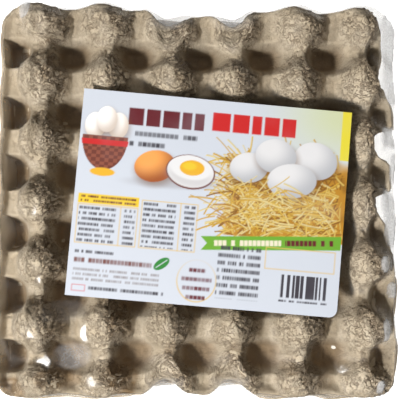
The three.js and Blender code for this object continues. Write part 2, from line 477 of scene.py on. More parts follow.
def printed_card():
    """Smooth coated card whose inks are in the mesh's colours."""
    finish = Finish("printed_card")
    inks = finish.kept("print", "Color")
    fibre = finish.grain(finish.place(), 900, 2)
    cloud = finish.grain(finish.place(), 30, 2)
    return finish.principled({
        "Base Color": finish.blend(inks, (0.42, 0.45, 0.51), cloud.rise(0.45, 0.8) * 0.12),
        "Roughness": 0.36 + fibre * 0.1,
        "Normal": finish.bump(fibre, 0.03 * MM, 0.4),
    })


def pale_floor():
    """A white floor that glows, so that no shadow shows on it."""
    finish = Finish("pale_floor")
    cloud = finish.grain(finish.place(), 3, 2)
    colour = finish.blend((0.90, 0.90, 0.90), (0.87, 0.87, 0.87), cloud)
    return finish.principled({"Base Color": colour, "Roughness": 0.8 + cloud * 0.1,
                              "Emission Color": colour, "Emission Strength": 1.0})


# ---- trays

def near_posts(place, pitch, span, past_outer):
    """0 in the middle of a cell and 1 on a line of posts."""
    beyond = np.abs(place) - span
    inside = np.abs(1 - 2 * np.mod(-beyond / pitch, 1.0))
    return np.where(beyond > 0, past_outer(beyond), inside)


def notch_at(along):
    offset = np.abs(np.abs(along) - WIDE_PITCH / 2) / NOTCH_HALF_WIDTH
    return 0.5 + 0.5 * np.cos(np.pi * np.clip(offset, 0, 1))


def sided(x, y, values):
    """For each place the number for its side, left or right, and the one for near or far."""
    left, right, near, far = values
    return np.where(x > 0, right, left), np.where(y > 0, far, near)


def cell_wall(x, y, form):
    """0 on a cell's floor and 1 outside of it."""
    in_x = np.mod(x + WIDE_SPAN, WIDE_PITCH) - WIDE_PITCH / 2
    in_x = np.where(np.abs(x) > WIDE_SPAN, np.abs(x) - WIDE_SPAN - WIDE_PITCH / 2, in_x)
    in_x = np.where(x < -WIDE_SPAN, -in_x, in_x)
    in_y = np.mod(y + CLOSE_SPAN, CLOSE_PITCH) - CLOSE_PITCH / 2
    half_x, half_y = sided(in_x, in_y, form["cell"])
    far_half = (in_y > 0) & (form is COVER_FORM)
    half_y = half_y * (1 - FAR_CELL_SHRINK * smooth_step(y, *FAR_CELL_BAND) * far_half)
    across = np.abs(in_x) / half_x / MM
    along = np.abs(in_y) / half_y / MM
    reach = (across ** WELL_ROUNDNESS + along ** WELL_ROUNDNESS) ** (1 / WELL_ROUNDNESS)
    start_x, start_y = sided(in_x, in_y, form["wall_start"])
    eased = FAR_WALL_EASE * smooth_step(y, *FAR_WALL_BAND) * far_half
    toward_x = across ** 2 / (across ** 2 + along ** 2 + 1e-6)
    half_cell = (x < -WIDE_SPAN) & (form is COVER_FORM)
    start = np.where(half_cell, HALF_CELL_WALL[0], mix(start_y - eased, start_x, toward_x))
    return smooth_step(reach, start, np.where(half_cell, HALF_CELL_WALL[1], form["wall_end"]))


def tray_height(x, y, posts, form):
    """Height share of a tray's upper face, and for each place how far from its post it is, in which
    direction, how craggy, the post's number and how much painted shade it gets for lying deep down.
    x runs along five cells."""
    near_x = near_posts(x, WIDE_PITCH, WIDE_SPAN, lambda b: np.clip(1 - 2 * b / WIDE_PITCH, 0, 1))
    near_y = near_posts(y, CLOSE_PITCH, CLOSE_SPAN, lambda b: np.ones_like(b))
    column = np.clip(np.round((x + WIDE_SPAN) / WIDE_PITCH), 0, WIDE_CELLS).astype(int)
    row = np.clip(np.round((y + CLOSE_SPAN) / CLOSE_PITCH), 0, CLOSE_CELLS).astype(int)
    shift_x, shift_y, size, height = posts[column, row].T
    away_x = x - (column * WIDE_PITCH - WIDE_SPAN) - shift_x
    away_y = y - (row * CLOSE_PITCH - CLOSE_SPAN) - shift_y
    away = np.hypot(away_x, away_y)
    radius_x, radius_y = sided(away_x, away_y, form["post"])
    dome = np.hypot(away_x / radius_x, away_y / radius_y) / size / MM
    dome = np.clip(1 - dome ** form["roundness"], 0, 1)
    outer = np.clip(1 - (away / (size * OUTER_POST_RADIUS)) ** OUTER_POST_ROUNDNESS, 0, 1)
    dome = mix(dome, outer, smooth_step(np.abs(x), WIDE_SPAN - 2 * MM, WIDE_SPAN + 6 * MM))

    wall = cell_wall(x, y, form)
    saddle = mix(form["end_saddle"], form["side_saddle"], smooth_step(near_x - near_y, -0.7, 0.5))
    saddle = saddle + FAR_SADDLE_RISE * smooth_step(y, *FAR_CELL_BAND) * (form is COVER_FORM)
    share = mix(WELL_FLOOR, saddle + (height - saddle) * dome, wall)
    edge_row = smooth_step(np.abs(y), CLOSE_SPAN - CLOSE_PITCH / 2, CLOSE_SPAN)
    share = share * (1 - NOTCH_DROP * notch_at(x) * edge_row)

    rim_wall = np.where(x > 0, mix(WIDE_RIM_WALL, RIM_WALL, smooth_step(near_y, 0.4, 0.8)),
                        LEFT_RIM_WALL)
    toward_side = smooth_step(np.abs(x), HALF_TRAY - rim_wall, HALF_TRAY)
    toward_end = smooth_step(np.abs(y), CLOSE_SPAN + 1 * MM, HALF_TRAY)
    post_rim = smooth_step(near_x, 0.1, 0.9) * (1 - notch_at(x)) * (y > 0)
    end_rim = np.where(y > 0, mix(RIM_SHARE, POST_RIM_SHARE, post_rim), LOW_RIM_SHARE)
    share = mix(share, end_rim, toward_end)
    share = mix(share, RIM_SHARE, toward_side * (1 - toward_end))
    turn = np.arctan2(away_y, away_x)
    crag = smooth_step(dome, 0.02, 0.5) * (0.35 + 0.65 * wall)
    crag = crag * (1 - 0.5 * np.maximum(toward_end, toward_side))
    # Painted shade: the pulp is drawn darker where it lies low in the cells.
    painted_shade = 1 - smooth_step(share, 0.05, 0.42)
    return share, np.stack([away, turn, crag, column * 7.0 + row, painted_shade])


def round_corner(x, y):
    """Turns the square's corners into quarter circles."""
    inner = HALF_TRAY - CORNER_RADIUS
    over_x = np.clip(np.abs(x) - inner, 0, None)
    over_y = np.clip(np.abs(y) - inner, 0, None)
    scale = np.maximum(over_x, over_y) / np.maximum(np.hypot(over_x, over_y), 1e-9)
    scale = np.where((over_x > 0) & (over_y > 0), scale, 1.0)
    new_x = np.where(scale < 1, np.sign(x) * (inner + over_x * scale), x)
    new_y = np.where(scale < 1, np.sign(y) * (inner + over_y * scale), y)
    return new_x, new_y


def draw_in(place, inset):
    band = np.clip((np.abs(place) - HALF_TRAY + EDGE_BAND) / EDGE_BAND, 0, 1)
    return place - np.sign(place) * inset * band


def gather(places, pitch, first_post):
    """Draws the lines of a grid closer together at the posts, where the crags are."""
    wave = np.sin(2 * np.pi * (places - first_post) / pitch)
    return places - CRAG_GATHER * pitch / (2 * np.pi) * wave


def plan_of(x, y, is_film=False, is_base=False):
    """Where a place of the square plan lies once the edges and corners have their form. The film
    spans a part of the notches, and the base tray is dented at one side."""
    near_x = near_posts(x, WIDE_PITCH, WIDE_SPAN, np.ones_like)
    notch = NOTCH_DEPTH + BRIDGED_NOTCH * (not is_film and not is_base)
    inset_y = RIM_WAVE * (1 - smooth_step(near_x, 0, 1)) + notch * notch_at(x)
    inset_y = inset_y + LOW_EDGE_INSET * (y < 0)
    inset_y = inset_y + MIDDLE_INSET * (y > 0) * (1 - smooth_step(np.abs(x), 8 * MM, 22 * MM))
    inset_x = RIM_WAVE / 2 * (0.5 + 0.5 * np.sin(y / CLOSE_PITCH * 2 * np.pi))
    dent = (FILM_DENT if is_film else BASE_DENT) * is_base
    inset_x = inset_x + dent * (x < 0) * (1 - smooth_step(np.abs(y), 34 * MM, 52 * MM))
    new_x, new_y = round_corner(x, y)
    return draw_in(new_x, inset_x), draw_in(new_y, inset_y)


def fold_flange(places, y):
    """Folds the flange on the right down and in, more at some places than at others."""
    along, share = np.array(FLANGE_FOLD).T
    fold = np.interp(y, along * MM, share)
    beyond = np.clip(places[:, 0] - WIDE_SPAN, 0, None)
    drawn = beyond * FLANGE_DRAW * fold
    places[:, 0] -= drawn
    places[:, 2] -= np.clip(places[:, 0] - WIDE_SPAN + drawn - FLANGE_LEDGE, 0, None) * fold


def patched(places, patches, salt, border=(0.8, 1.12)):
    """How strongly each place lies in patches with soft uneven borders."""
    x, y = places[:, 0] / MM, places[:, 1] / MM
    uneven = 0.22 * lumps(places, 14 * MM, salt)
    total = np.zeros(len(places))
    for across, up, half_width, half_height, strength in patches:
        reach = np.hypot((x - across) / half_width, (y - up) / half_height) ** 2
        square = np.abs((x - across) / half_width) ** 4 + np.abs((y - up) / half_height) ** 4
        reach = np.sqrt(np.sqrt(0.5 * (reach ** 2 + square))) + uneven
        total = np.maximum(total, strength * (1 - smooth_step(reach, *border)))
    return total


def raise_sheet(sheet, posts, seed, is_cover):
    """Raises a flat grid into the tray's posts and cells; tells where each place is on its post."""
    places = places_of(sheet)
    edge = np.maximum(np.abs(places[:, 0]), np.abs(places[:, 1])) > HALF_TRAY - 0.01 * MM
    x = np.where(edge, places[:, 0], gather(places[:, 0], WIDE_PITCH, WIDE_SPAN))
    y = np.where(edge, places[:, 1], gather(places[:, 1], CLOSE_PITCH, CLOSE_SPAN))
    x, y = np.clip(x, -HALF_TRAY, HALF_TRAY), np.clip(y, -HALF_TRAY, HALF_TRAY)
    flat = np.stack([x, y, 0 * x], 1)
    share, about_post = tray_height(
        x + WARP * lumps(flat, 45 * MM, seed),
        y + WARP * lumps(flat, 45 * MM, seed + 5), posts,
        COVER_FORM if is_cover else BASE_FORM,
    )
    places[:, 0], places[:, 1] = plan_of(x, y, is_base=not is_cover)
    places[:, 2] = PULP_THICKNESS + (TRAY_HEIGHT - PULP_THICKNESS) * share
    if is_cover:
        fold_flange(places, y)
    set_places(sheet, places)
    return about_post


def roughen(sheet, about_post, seed, is_cover):
    """Cuts creases round the posts, as in wet pulp that was pressed down, and keeps their depth for
    painted shade in them; adds patches of painted shade to the painted shade low in the cells.
    """
    places = places_of(sheet)
    away, turn, crag, number, painted_shade = about_post
    bend = lumps(places, 12 * MM, seed)
    facing = 0.25 + 0.75 * smooth_step(np.cos(turn - CRAG_SIDE) + 0.5 * bend, -0.5, 0.6)
    crag = np.clip(crag * facing + 0.10, 0, 1)
    bent = np.stack([away + bend * 4 * MM, turn * 12 * MM + bend * 5 * MM, number * 40 * MM], 1)
    long_crease = np.abs(lumps(bent, (3.4 * MM, 8 * MM, 8 * MM), seed + 1))
    small_crease = np.abs(lumps(bent, (1.9 * MM, 3.6 * MM, 3.4 * MM), seed + 2))
    crease = 1 - np.clip(1.8 * long_crease, 0, 1) * 0.65 - np.clip(2.2 * small_crease, 0, 1) * 0.35
    ripple = lumps(places, 9 * MM, seed + 3)
    push = -crag * crease * CREASE_DEPTH + 0.3 * MM * ripple
    places = places + normals_of(sheet) * push[:, None]
    places[:, 2] = np.minimum(places[:, 2], HIGHEST_CRAG)
    set_places(sheet, places)
    # Painted shade patches on the cover, where its rims and cells lie in shade.
    patch_shade = patched(places, SHADE_PATCHES, 41, (0.7, 1.1)) * is_cover
    patch_shade = patch_shade * (0.75 + 0.5 * lumps(places, (7 * MM, 3 * MM, 7 * MM), 42))
    painted_shade = np.maximum(painted_shade, np.clip(patch_shade, 0, 1) * 1.25)
    keep(sheet, "crag", crag)
    keep(sheet, "crease", crease * crag)
    keep(sheet, "painted_shade", painted_shade)
    keep(sheet, "away", away)


def make_tray(name, steps, under_steps, seed, lift, is_cover):
    """A moulded tray: a fine craggy upper face over a plain lower one, joined round the rim."""
    draw = random.Random(seed)
    posts = np.array([[[draw.uniform(-1.3, 1.3) * MM, draw.uniform(-1.3, 1.3) * MM,
                        draw.uniform(0.93, 1.08), draw.uniform(0.95, 1.0)]
                       for _ in range(CLOSE_CELLS + 1)] for _ in range(WIDE_CELLS + 1)])
    posts[:, 0, 3] = LOW_ROW_SHARE
    posts[WIDE_CELLS, :, 0] += OUTER_POST_SHIFT
    posts[:, :, :2] += np.array(POST_LEAN) * is_cover
    under = new_grid(name + "_under", 2 * HALF_TRAY, 2 * HALF_TRAY, under_steps, under_steps)
    raise_sheet(under, posts, seed, is_cover)
    set_places(under, places_of(under) - normals_of(under) * PULP_THICKNESS)
    under.data.flip_normals()
    tray = new_grid(name, 2 * HALF_TRAY, 2 * HALF_TRAY, steps, steps)
    roughen(tray, raise_sheet(tray, posts, seed, is_cover), seed, is_cover)
    close_rim(tray, under)
    places = places_of(tray)
    places[:, 2] -= places[:, 2].min()
    if not is_cover:
        places[:, 0], places[:, 1] = -places[:, 1].copy(), places[:, 0].copy()
    places[:, 2] += lift
    set_places(tray, places)
    shade_smooth(tray)
    tray.data.materials.append(PULP)
    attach(tray, "root")
    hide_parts("wrapped_pack")
    return posts


# ---- eggs

def make_eggs():
    """Thirty eggs in the cells of the base tray, blunt end up, each a little different."""
    bpy.ops.object.select_all(action="DESELECT")
    bpy.ops.mesh.primitive_uv_sphere_add(segments=36, ring_count=24, radius=1)
    pattern = bpy.context.object
    pattern.name = "egg_pattern"
    shape = places_of(pattern)
    taper = 1 + EGG_TAPER * shape[:, 2]
    shape[:, :2] *= EGG_RADIUS * taper[:, None]
    shape[:, :2] /= EGG_SLIMNESS
    shape[:, 2] *= EGG_HEIGHT / 2
    set_places(pattern, shape)
    shade_smooth(pattern)
    pattern.data.materials.append(SHELL)
    draw = random.Random(30)
    for column in range(CLOSE_CELLS):
        for row in range(WIDE_CELLS):
            egg = pattern.copy()
            egg.data = pattern.data.copy()
            egg.name = egg.data.name = f"egg_{column + 1}_{row + 1}"
            bpy.context.collection.objects.link(egg)
            size = draw.uniform(0.96, 1.01)
            lean = Matrix.Identity(4)
            for axis in "XY":
                angle = math.radians(draw.uniform(-EGG_LEAN, EGG_LEAN))
                lean = lean @ Matrix.Rotation(angle, 4, axis)
            spot = Vector((
                (column - (CLOSE_CELLS - 1) / 2) * CLOSE_PITCH,
                (row - (WIDE_CELLS - 1) / 2) * WIDE_PITCH,
                BASE_LIFT + PULP_THICKNESS + EGG_HEIGHT / 2 + EGG_SEAT,
            ))
            egg.data.transform(Matrix.Translation(spot) @ lean @ Matrix.Scale(size, 4))
            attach(egg, "root")
            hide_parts("wrapped_pack")
    bpy.data.objects.remove(pattern)


# ---- film

# The film's wall: rings from the cover tray's rim (above 1) down to the base tray's (above 0).
WALL_TOP = 77 * MM
WALL_FOOT = 31 * MM
WALL_RINGS = (0.9, 0.75, 0.6, 0.45, 0.3, 0.15, 0.0)
FIRST_RING_DROP = 0.6
WAIST_DEPTH = 4.5 * MM
FOOT_RINGS = ((22 * MM, 1.4 * MM), (12 * MM, 3.5 * MM), (6.6 * MM, 8.5 * MM), (2.4 * MM, 17 * MM),
              (0.5 * MM, 24 * MM))
HALF_FILM = PACK_HIGH.x - 0.3 * MM
FILM_STEPS = 176
FILM_SETTLING = 500
FILM_LOAD = 0.05 * MM
FILM_CLEARANCE = 0.7 * MM
LEAST_CLING = 0.96
FILM_START = PACK_HIGH.z - 6 * MM

# Patches of the film over the cover tray: middle across and up, half width and half height in
# # millimetres, and how strong. In the first group it is milky, partly from folds and partly as a
# # painted sheen of reflected light; in the second loose and glossy.
MILKY_AND_SHEEN_PATCHES = (
    (143, 118, 8, 27, 0.6),
    (145, 85, 6, 12, 0.6),
    (142, 49, 9, 8, 0.8),
    (146, 26, 4, 12, 0.6),
    (139, -1, 7, 10, 0.75),
    (143, -20, 5, 15, 0.75),
    (136, -45, 3, 6, 0.9),
    (144, -64, 4, 6, 0.9),
    (137, -93, 3, 9, 1.0),
    (134, -135, 3, 5, 0.9),
    (-91, -113, 14, 9, 0.32),
    (-98, -81, 15, 8, 0.1),
    (-130, 141, 4, 7, 0.7),
)
LOOSE_PATCHES = (
    (-119, -95, 8, 9, 1.0),
    (-82, -97, 8, 12, 1.0),
    (-112, -119, 10, 9, 1.0),
    (-78, -134, 6, 9, 1.0),
    (-119, -10, 4, 5, 0.8),
    (-115, -59, 4, 6, 0.9),
    (76, -109, 3, 10, 0.9),
    (108, -123, 5, 5, 0.9),
)

# A loose patch is a flat facet a little above the film at its middle, leaning by two slopes.
FACET_RISE = 1.2 * MM
FACET_LEAN = (0.228, 0.204)


def settle_film(x, y, posts):
    """Height of a taut sheet over the cover tray, and where it clings to the pulp."""
    share, _ = tray_height(x, y, posts, COVER_FORM)
    tray = COVER_LIFT + PULP_THICKNESS + (TRAY_HEIGHT - PULP_THICKNESS) * share + FILM_CLEARANCE
    tray = tray.reshape(FILM_STEPS + 1, FILM_STEPS + 1)
    height = np.full_like(tray, FILM_START)
    edge = np.ones_like(tray, bool)
    edge[1:-1, 1:-1] = False
    height[edge] = tray[edge]
    for _ in range(FILM_SETTLING):
        level = (height[2:, 1:-1] + height[:-2, 1:-1] + height[1:-1, 2:] + height[1:-1, :-2]) / 4
        height[1:-1, 1:-1] = np.maximum(level - FILM_LOAD, tray[1:-1, 1:-1])
    cling = np.clip(1 - (height - tray) / (2 * MM), 0, 1).reshape(-1)
    tray, height = tray.reshape(-1), height.reshape(-1)
    for across, up, half_width, half_height, strength in LOOSE_PATCHES:
        right, beyond = x - across * MM, y - up * MM
        middle = height[np.argmin(np.hypot(right, beyond))]
        facet = middle + FACET_RISE + FACET_LEAN[0] * right + FACET_LEAN[1] * beyond
        reach = np.hypot(right / half_width, beyond / half_height) / MM
        height = mix(height, facet, strength * (1 - smooth_step(reach, 0.6, 1.2)))
    height = np.maximum(height, tray - 0.5 * FILM_CLEARANCE)
    return np.minimum(height, PACK_HIGH.z - TOP_GAP), cling


def wall_ring(x, y, above):
    """The wall's outline between the two trays' rims; it draws in at its waist."""
    cover_x, cover_y = plan_of(x, y, is_film=True)
    base_y, turned_x = plan_of(y, -x, is_film=True, is_base=True)
    base_x = -turned_x
    waist = WAIST_DEPTH * math.sin(math.pi * above)
    ring_x = mix(base_x, cover_x, above)
    ring_y = mix(base_y, cover_y, above)
    return ring_x * (1 - waist / HALF_FILM), ring_y * (1 - waist / HALF_FILM)


def pull_ring(film, z, above, inset):
    """Draws the film's free edge out to its next ring, down the wall or in along the foot."""
    edit_rim()
    bpy.ops.mesh.extrude_edges_move()
    bpy.ops.object.mode_set(mode="OBJECT")
    chosen = np.empty(len(film.data.vertices), bool)
    film.data.vertices.foreach_get("select", chosen)
    x, y = kept_numbers(film, "plan_x")[chosen], kept_numbers(film, "plan_y")[chosen]
    x, y = wall_ring(x, y, above)
    places = places_of(film)
    places[chosen, 0] = x * (1 - inset / HALF_FILM)
    places[chosen, 1] = y * (1 - inset / HALF_FILM)
    drop = 1 if above < WALL_RINGS[0] else FIRST_RING_DROP
    places[chosen, 2] = mix(places[chosen, 2], z, drop)
    set_places(film, places)


def make_underside():
    """The film's lower face: almost flat, with its rim a little inside the last ring."""
    under = new_grid("film_under", 1, 1, FILM_STEPS // 4, FILM_STEPS // 4)
    spread = 2 * (HALF_FILM - FOOT_RINGS[-1][1] - 1 * MM)
    places = places_of(under) * spread
    places[:, 0], places[:, 1] = round_corner(places[:, 0], places[:, 1])
    places[:, 2] = 0.3 * MM + 0.25 * MM * lumps(places, 30 * MM, 5) ** 2
    set_places(under, places)
    under.data.flip_normals()
    return under


def make_film(posts):
    """Clear film round the whole pack: taut on top, drawn in at the waist and gathered below."""
    film = new_grid("film", 2 * HALF_FILM, 2 * HALF_FILM, FILM_STEPS, FILM_STEPS)
    places = places_of(film)
    plan_x, plan_y = places[:, 0].copy(), places[:, 1].copy()
    places[:, 2], cling = settle_film(plan_x, plan_y, posts)
    keep(film, "plan_x", plan_x)
    keep(film, "plan_y", plan_y)
    keep(film, "cling", cling)
    places[:, 0], places[:, 1] = plan_of(plan_x, plan_y, is_film=True)
    set_places(film, places)
    only(film)
    for above in WALL_RINGS:
        pull_ring(film, mix(WALL_FOOT, WALL_TOP, above), above, 0)
    for z, inset in FOOT_RINGS:
        pull_ring(film, z, 0, inset)
    close_rim(film, make_underside())
    crease_film(film)
    film.data.materials.append(FILM)
    shade_smooth(film)
    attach(film, "root")
    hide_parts("wrapped_pack")


def crease_film(film):
    """Fine creases: upright ones in the wall, long ones over the notches, and broad waves. Keeps
    where the film is hazy or carries painted sheen, and how closely it clings."""
    places = places_of(film)
    x, y, z = places.T
    edge = HALF_FILM - np.maximum(np.abs(x), np.abs(y))
    wall = (1 - smooth_step(edge, 3 * MM, 16 * MM)) * smooth_step(z, 4 * MM, 20 * MM)
    gathers = np.abs(lumps(places, (6 * MM, 6 * MM, 60 * MM), 21))
    gathers = gathers * smooth_step(np.abs(z - WALL_FOOT), 3 * MM, 14 * MM)
    notch = notch_at(x) * smooth_step(np.abs(y), 118 * MM, 132 * MM)
    notch = notch * smooth_step(z, 60 * MM, 74 * MM)
    streaks = np.abs(lumps(places, (60 * MM, 2.4 * MM, 30 * MM), 22))
    waves = lumps(places, (26 * MM, 26 * MM, 60 * MM), 23)
    bridge = notch_at(x) * smooth_step(np.abs(y), 127 * MM, 133 * MM) * (z > 60 * MM)
    # Milky patches: partly film folds, partly painted sheen of reflected light.
    milky_and_sheen = patched(places, MILKY_AND_SHEEN_PATCHES, 31) * (z > 60 * MM)
    haze_and_sheen = np.maximum(milky_and_sheen, bridge * (0.25 + 0.6 * streaks))
    loose = patched(places, LOOSE_PATCHES, 32, (0.1, 1.25))
    cling = np.maximum(kept_numbers(film, "cling"), LEAST_CLING) * (1 - loose)
    film.data.attributes["cling"].data.foreach_set("value", cling)
    keep(film, "haze_and_sheen", np.clip(haze_and_sheen, 0, 1))
    inward = 0.9 * gathers * wall + 0.6 * streaks * notch + 0.2 * (waves + 1)
    places = places - normals_of(film) * (inward * MM)[:, None]
    places[:, 2] = np.minimum(places[:, 2], PACK_HIGH.z - TOP_GAP)
    set_places(film, places)


# ---- card

# The print. Lengths are millimetres across from the card's left and down from its top.
INK_EDGE = 0.55
PAPER = (0.485, 0.52, 0.59)
MAROON = (0.105, 0.009, 0.015)
RED = (0.465, 0.011, 0.011)
INK = (0.038, 0.034, 0.045)
GOLD = (0.562, 0.375, 0.090)
YELLOW = (0.645, 0.450, 0.022)
LIME = (0.495, 0.540, 0.150)
GREEN = (0.120, 0.315, 0.022)
LEAF = (0.022, 0.188, 0.030)
WHITE = (0.630, 0.630, 0.645)
YOLK = (0.637, 0.345, 0.015)
CREAM = (0.645, 0.600, 0.465)
BROWN = (0.128, 0.030, 0.019)
SHADOW = (0.255, 0.240, 0.255)
STRAW_DARK = (0.15, 0.062, 0.006)
STRAW_PALE = (0.60, 0.49, 0.24)
STRAWS = ((0.24, 0.10, 0.008), (0.40, 0.19, 0.015), (0.52, 0.31, 0.035), (0.60, 0.42, 0.10),
          (0.63, 0.52, 0.24))
LEMON = (0.62, 0.54, 0.035)
FIELD = (100, 34, 193, 97)


class Sheet:
    """The card's face: inks laid one over another at every place of its mesh."""

    def __init__(self, across, down):
        self.across = across
        self.down = down
        self.inks = np.tile(np.array(PAPER), (len(across), 1))

    def lay(self, ink, mask):
        self.inks += (np.array(ink) - self.inks) * np.clip(mask, 0, 1)[:, None]

    def span(self, along, low, high, edge=INK_EDGE):
        rise = np.clip((along - low) / edge + 0.5, 0, 1)
        return rise * np.clip((high - along) / edge + 0.5, 0, 1)

    def box(self, left, top, right, bottom, edge=INK_EDGE):
        return self.span(self.across, left, right, edge) * self.span(self.down, top, bottom, edge)

    def frame(self, left, top, right, bottom, line=0.7):
        inner = self.box(left + line, top + line, right - line, bottom - line)
        return self.box(left, top, right, bottom) * (1 - inner)

    def turned(self, centre, turn):
        """Lengths along and below a line through a centre, turned clockwise by degrees."""
        cos, sin = math.cos(math.radians(turn)), math.sin(math.radians(turn))
        right, below = self.across - centre[0], self.down - centre[1]
        return right * cos + below * sin, below * cos - right * sin

    def oval_reach(self, centre, radii, turn=0):
        """0 at the oval's centre and 1 at its edge."""
        along, below = self.turned(centre, turn)
        return np.hypot(along / radii[0], below / radii[1])

    def oval(self, centre, radii, turn=0, edge=INK_EDGE):
        edge = edge / min(radii)
        return 1 - smooth_step(self.oval_reach(centre, radii, turn), 1 - edge / 2, 1 + edge / 2)

    def words(self, ink, left, top, right, bottom, row, letter, salt, fill=0.84):
        """Rows of broken dashes that stand for small print."""
        line = (self.down - top) / row
        column = (self.across - left) / letter + np.floor(line) * 0.37
        dash = scatter_at(column, line, salt) < fill
        body = self.span(line % 1, 0.2, 0.72, 0.2) * self.span(column % 1, 0.02, 0.98, 0.3)
        tone = 0.65 + 0.35 * scatter_at(column, line, salt + 1)
        self.lay(ink, self.box(left, top, right, bottom) * body * dash * tone)

    def egg(self, centre, radii, turn, pale, deep):
        """A shaded egg with a soft shadow below it."""
        below = (centre[0] + 1.0, centre[1] + 2.5)
        self.lay(STRAW_DARK, self.oval(below, [r * 1.04 for r in radii], turn, 7) * 0.55)
        light = (centre[0] - radii[0] * 0.35, centre[1] - radii[1] * 0.45)
        depth = smooth_step(self.oval_reach(light, radii, turn), 0.3, 1.5)[:, None]
        shell = mix(np.array(pale), np.array(deep), depth)
        self.inks += (shell - self.inks) * self.oval(centre, radii, turn)[:, None]

    def stalk(self, start, turn, length, width, ink):
        """One straw: a thin bent line, darker along its lower side."""
        near = np.flatnonzero(np.hypot(self.across - start[0], self.down - start[1]) < length)
        cos, sin = math.cos(turn), math.sin(turn)
        right, below = self.across[near] - start[0], self.down[near] - start[1]
        along, beside = right * cos + below * sin, below * cos - right * sin
        beside = beside + along * along / length * 0.18
        mask = self.span(beside, -width / 2, width / 2) * self.span(along, 0, length)
        tone = np.array(ink) * (1 - 0.45 * np.clip(beside / width + 0.3, 0, 1))[:, None]
        self.inks[near] += (tone - self.inks[near]) * mask[:, None]


def lay_straw(sheet, count, area, salt, palest=False):
    """Golden stalks scattered over an area, one over another, in all tones or the palest."""
    draw = random.Random(salt)
    left, top, right, bottom = area
    for _ in range(count):
        place = (draw.uniform(left, right), draw.uniform(top, bottom))
        turn = draw.gauss(0.1, 0.75) + draw.choice((0, math.pi))
        length = draw.uniform(8, 24)
        end = place[1] + length * math.sin(turn)
        ink = draw.choice(STRAWS[2:] if palest else STRAWS)
        width = draw.uniform(0.7, 1.25)
        if end < bottom + 1 and place[0] + length * math.cos(turn) < 195:
            sheet.stalk(place, turn, length, width, ink)


def lay_field(sheet):
    """Eggs lying in a field of straw under a pale lime sky."""
    left, top, right, bottom = FIELD
    ragged = lumps(np.stack([sheet.across, sheet.down, 0 * sheet.down], 1), (9, 9, 9), 8) * 7
    sky = smooth_step(sheet.across, 118, 196) * (1 - smooth_step(sheet.down, 4, 52))
    sheet.lay(LIME, sky * 0.6)
    bed = smooth_step(sheet.across + ragged, left + 6, left + 16)
    bed = bed * smooth_step(sheet.down + ragged, top + 2, top + 13)
    bed = bed * (1 - smooth_step(sheet.down, bottom - 0.4, bottom + 0.4))
    deep = smooth_step(sheet.across + sheet.down, left + 52, left + 100)
    sheet.lay(STRAW_PALE, bed)
    sheet.lay(STRAWS[1], bed * deep)
    sheet.lay(STRAW_DARK, bed * deep * smooth_step(ragged, 0, 6) * 0.6)
    lay_straw(sheet, 150, (left + 2, top + 4, left + 30, bottom), 5, True)
    lay_straw(sheet, 620, (left + 12, top + 8, right, bottom), 6)
    for centre, radii, turn in (
        ((172, 38), (16, 13.5), 15),
        ((124, 47), (14, 11), -8),
        ((143, 37), (15, 12.5), 4),
        ((156, 54), (18, 12.5), -5),
    ):
        sheet.egg(centre, radii, turn, (0.60, 0.60, 0.62), (0.37, 0.38, 0.41))
    lay_straw(sheet, 130, (left + 14, 60, right, bottom - 4), 7, True)
    sheet.lay(LEMON, sheet.box(189.5, -1, 197, 36))


def lay_title(sheet):
    """Plain bars of two colours, and thin rows under them."""
    for left, right in ((34, 45), (47, 57), (59, 71), (73, 80), (82, 89)):
        sheet.lay(MAROON, sheet.box(left, 11, right, 23.5))
    for left, right in ((95, 108), (110, 122), (124, 131), (133, 144), (146, 156)):
        sheet.lay(RED, sheet.box(left, 9, right, 22.5))
    sheet.words(INK, 36, 26.5, 85, 33, 6.5, 3.2, 3)
    sheet.words(INK, 36, 34, 62, 40.5, 6.5, 3.2, 9)


def lay_bowl(sheet):
    """A bowl of eggs, and beside it a brown egg behind one cut in half."""
    for centre in ((10.5, 26), (27, 25), (18.5, 21)):
        sheet.egg(centre, (7.5, 9.5), 0, (0.84, 0.82, 0.80), (0.52, 0.44, 0.38))
    rim = smooth_step(sheet.down, 33, 33.6)
    sheet.lay(BROWN, sheet.oval((18.5, 34), (16.5, 24)) * rim)
    weave = (np.floor(sheet.across / 3.2) + np.floor(sheet.down / 2.6)) % 2
    sheet.lay((0.30, 0.09, 0.05), sheet.oval((18.5, 34), (16.5, 24)) * rim * weave * 0.5)
    sheet.lay(RED, sheet.oval((18.5, 34), (17, 24.5)) * sheet.span(sheet.down, 36, 40))
    sheet.lay(YOLK, sheet.oval((18.5, 59.5), (9, 3)))
    sheet.lay(SHADOW, sheet.oval((70, 63), (30, 4), -2, 4) * 0.5)
    sheet.egg((56, 52), (15, 11.5), -12, (0.72, 0.30, 0.07), (0.28, 0.07, 0.015))
    sheet.lay(BROWN, sheet.oval((82, 54), (18, 12.5), 6))
    sheet.lay(WHITE, sheet.oval((82, 53.6), (17, 11.6), 6))
    sheet.lay(SHADOW, sheet.oval((82, 57), (16, 8), 6, 6) * 0.35)
    sheet.lay(WHITE, sheet.oval((82, 51.5), (15, 8), 6, 2))
    sheet.lay(YOLK, sheet.oval((83, 51), (9, 5.6)))
    sheet.lay(YELLOW, sheet.oval((81, 49.8), (5, 2.8), 0, 2))


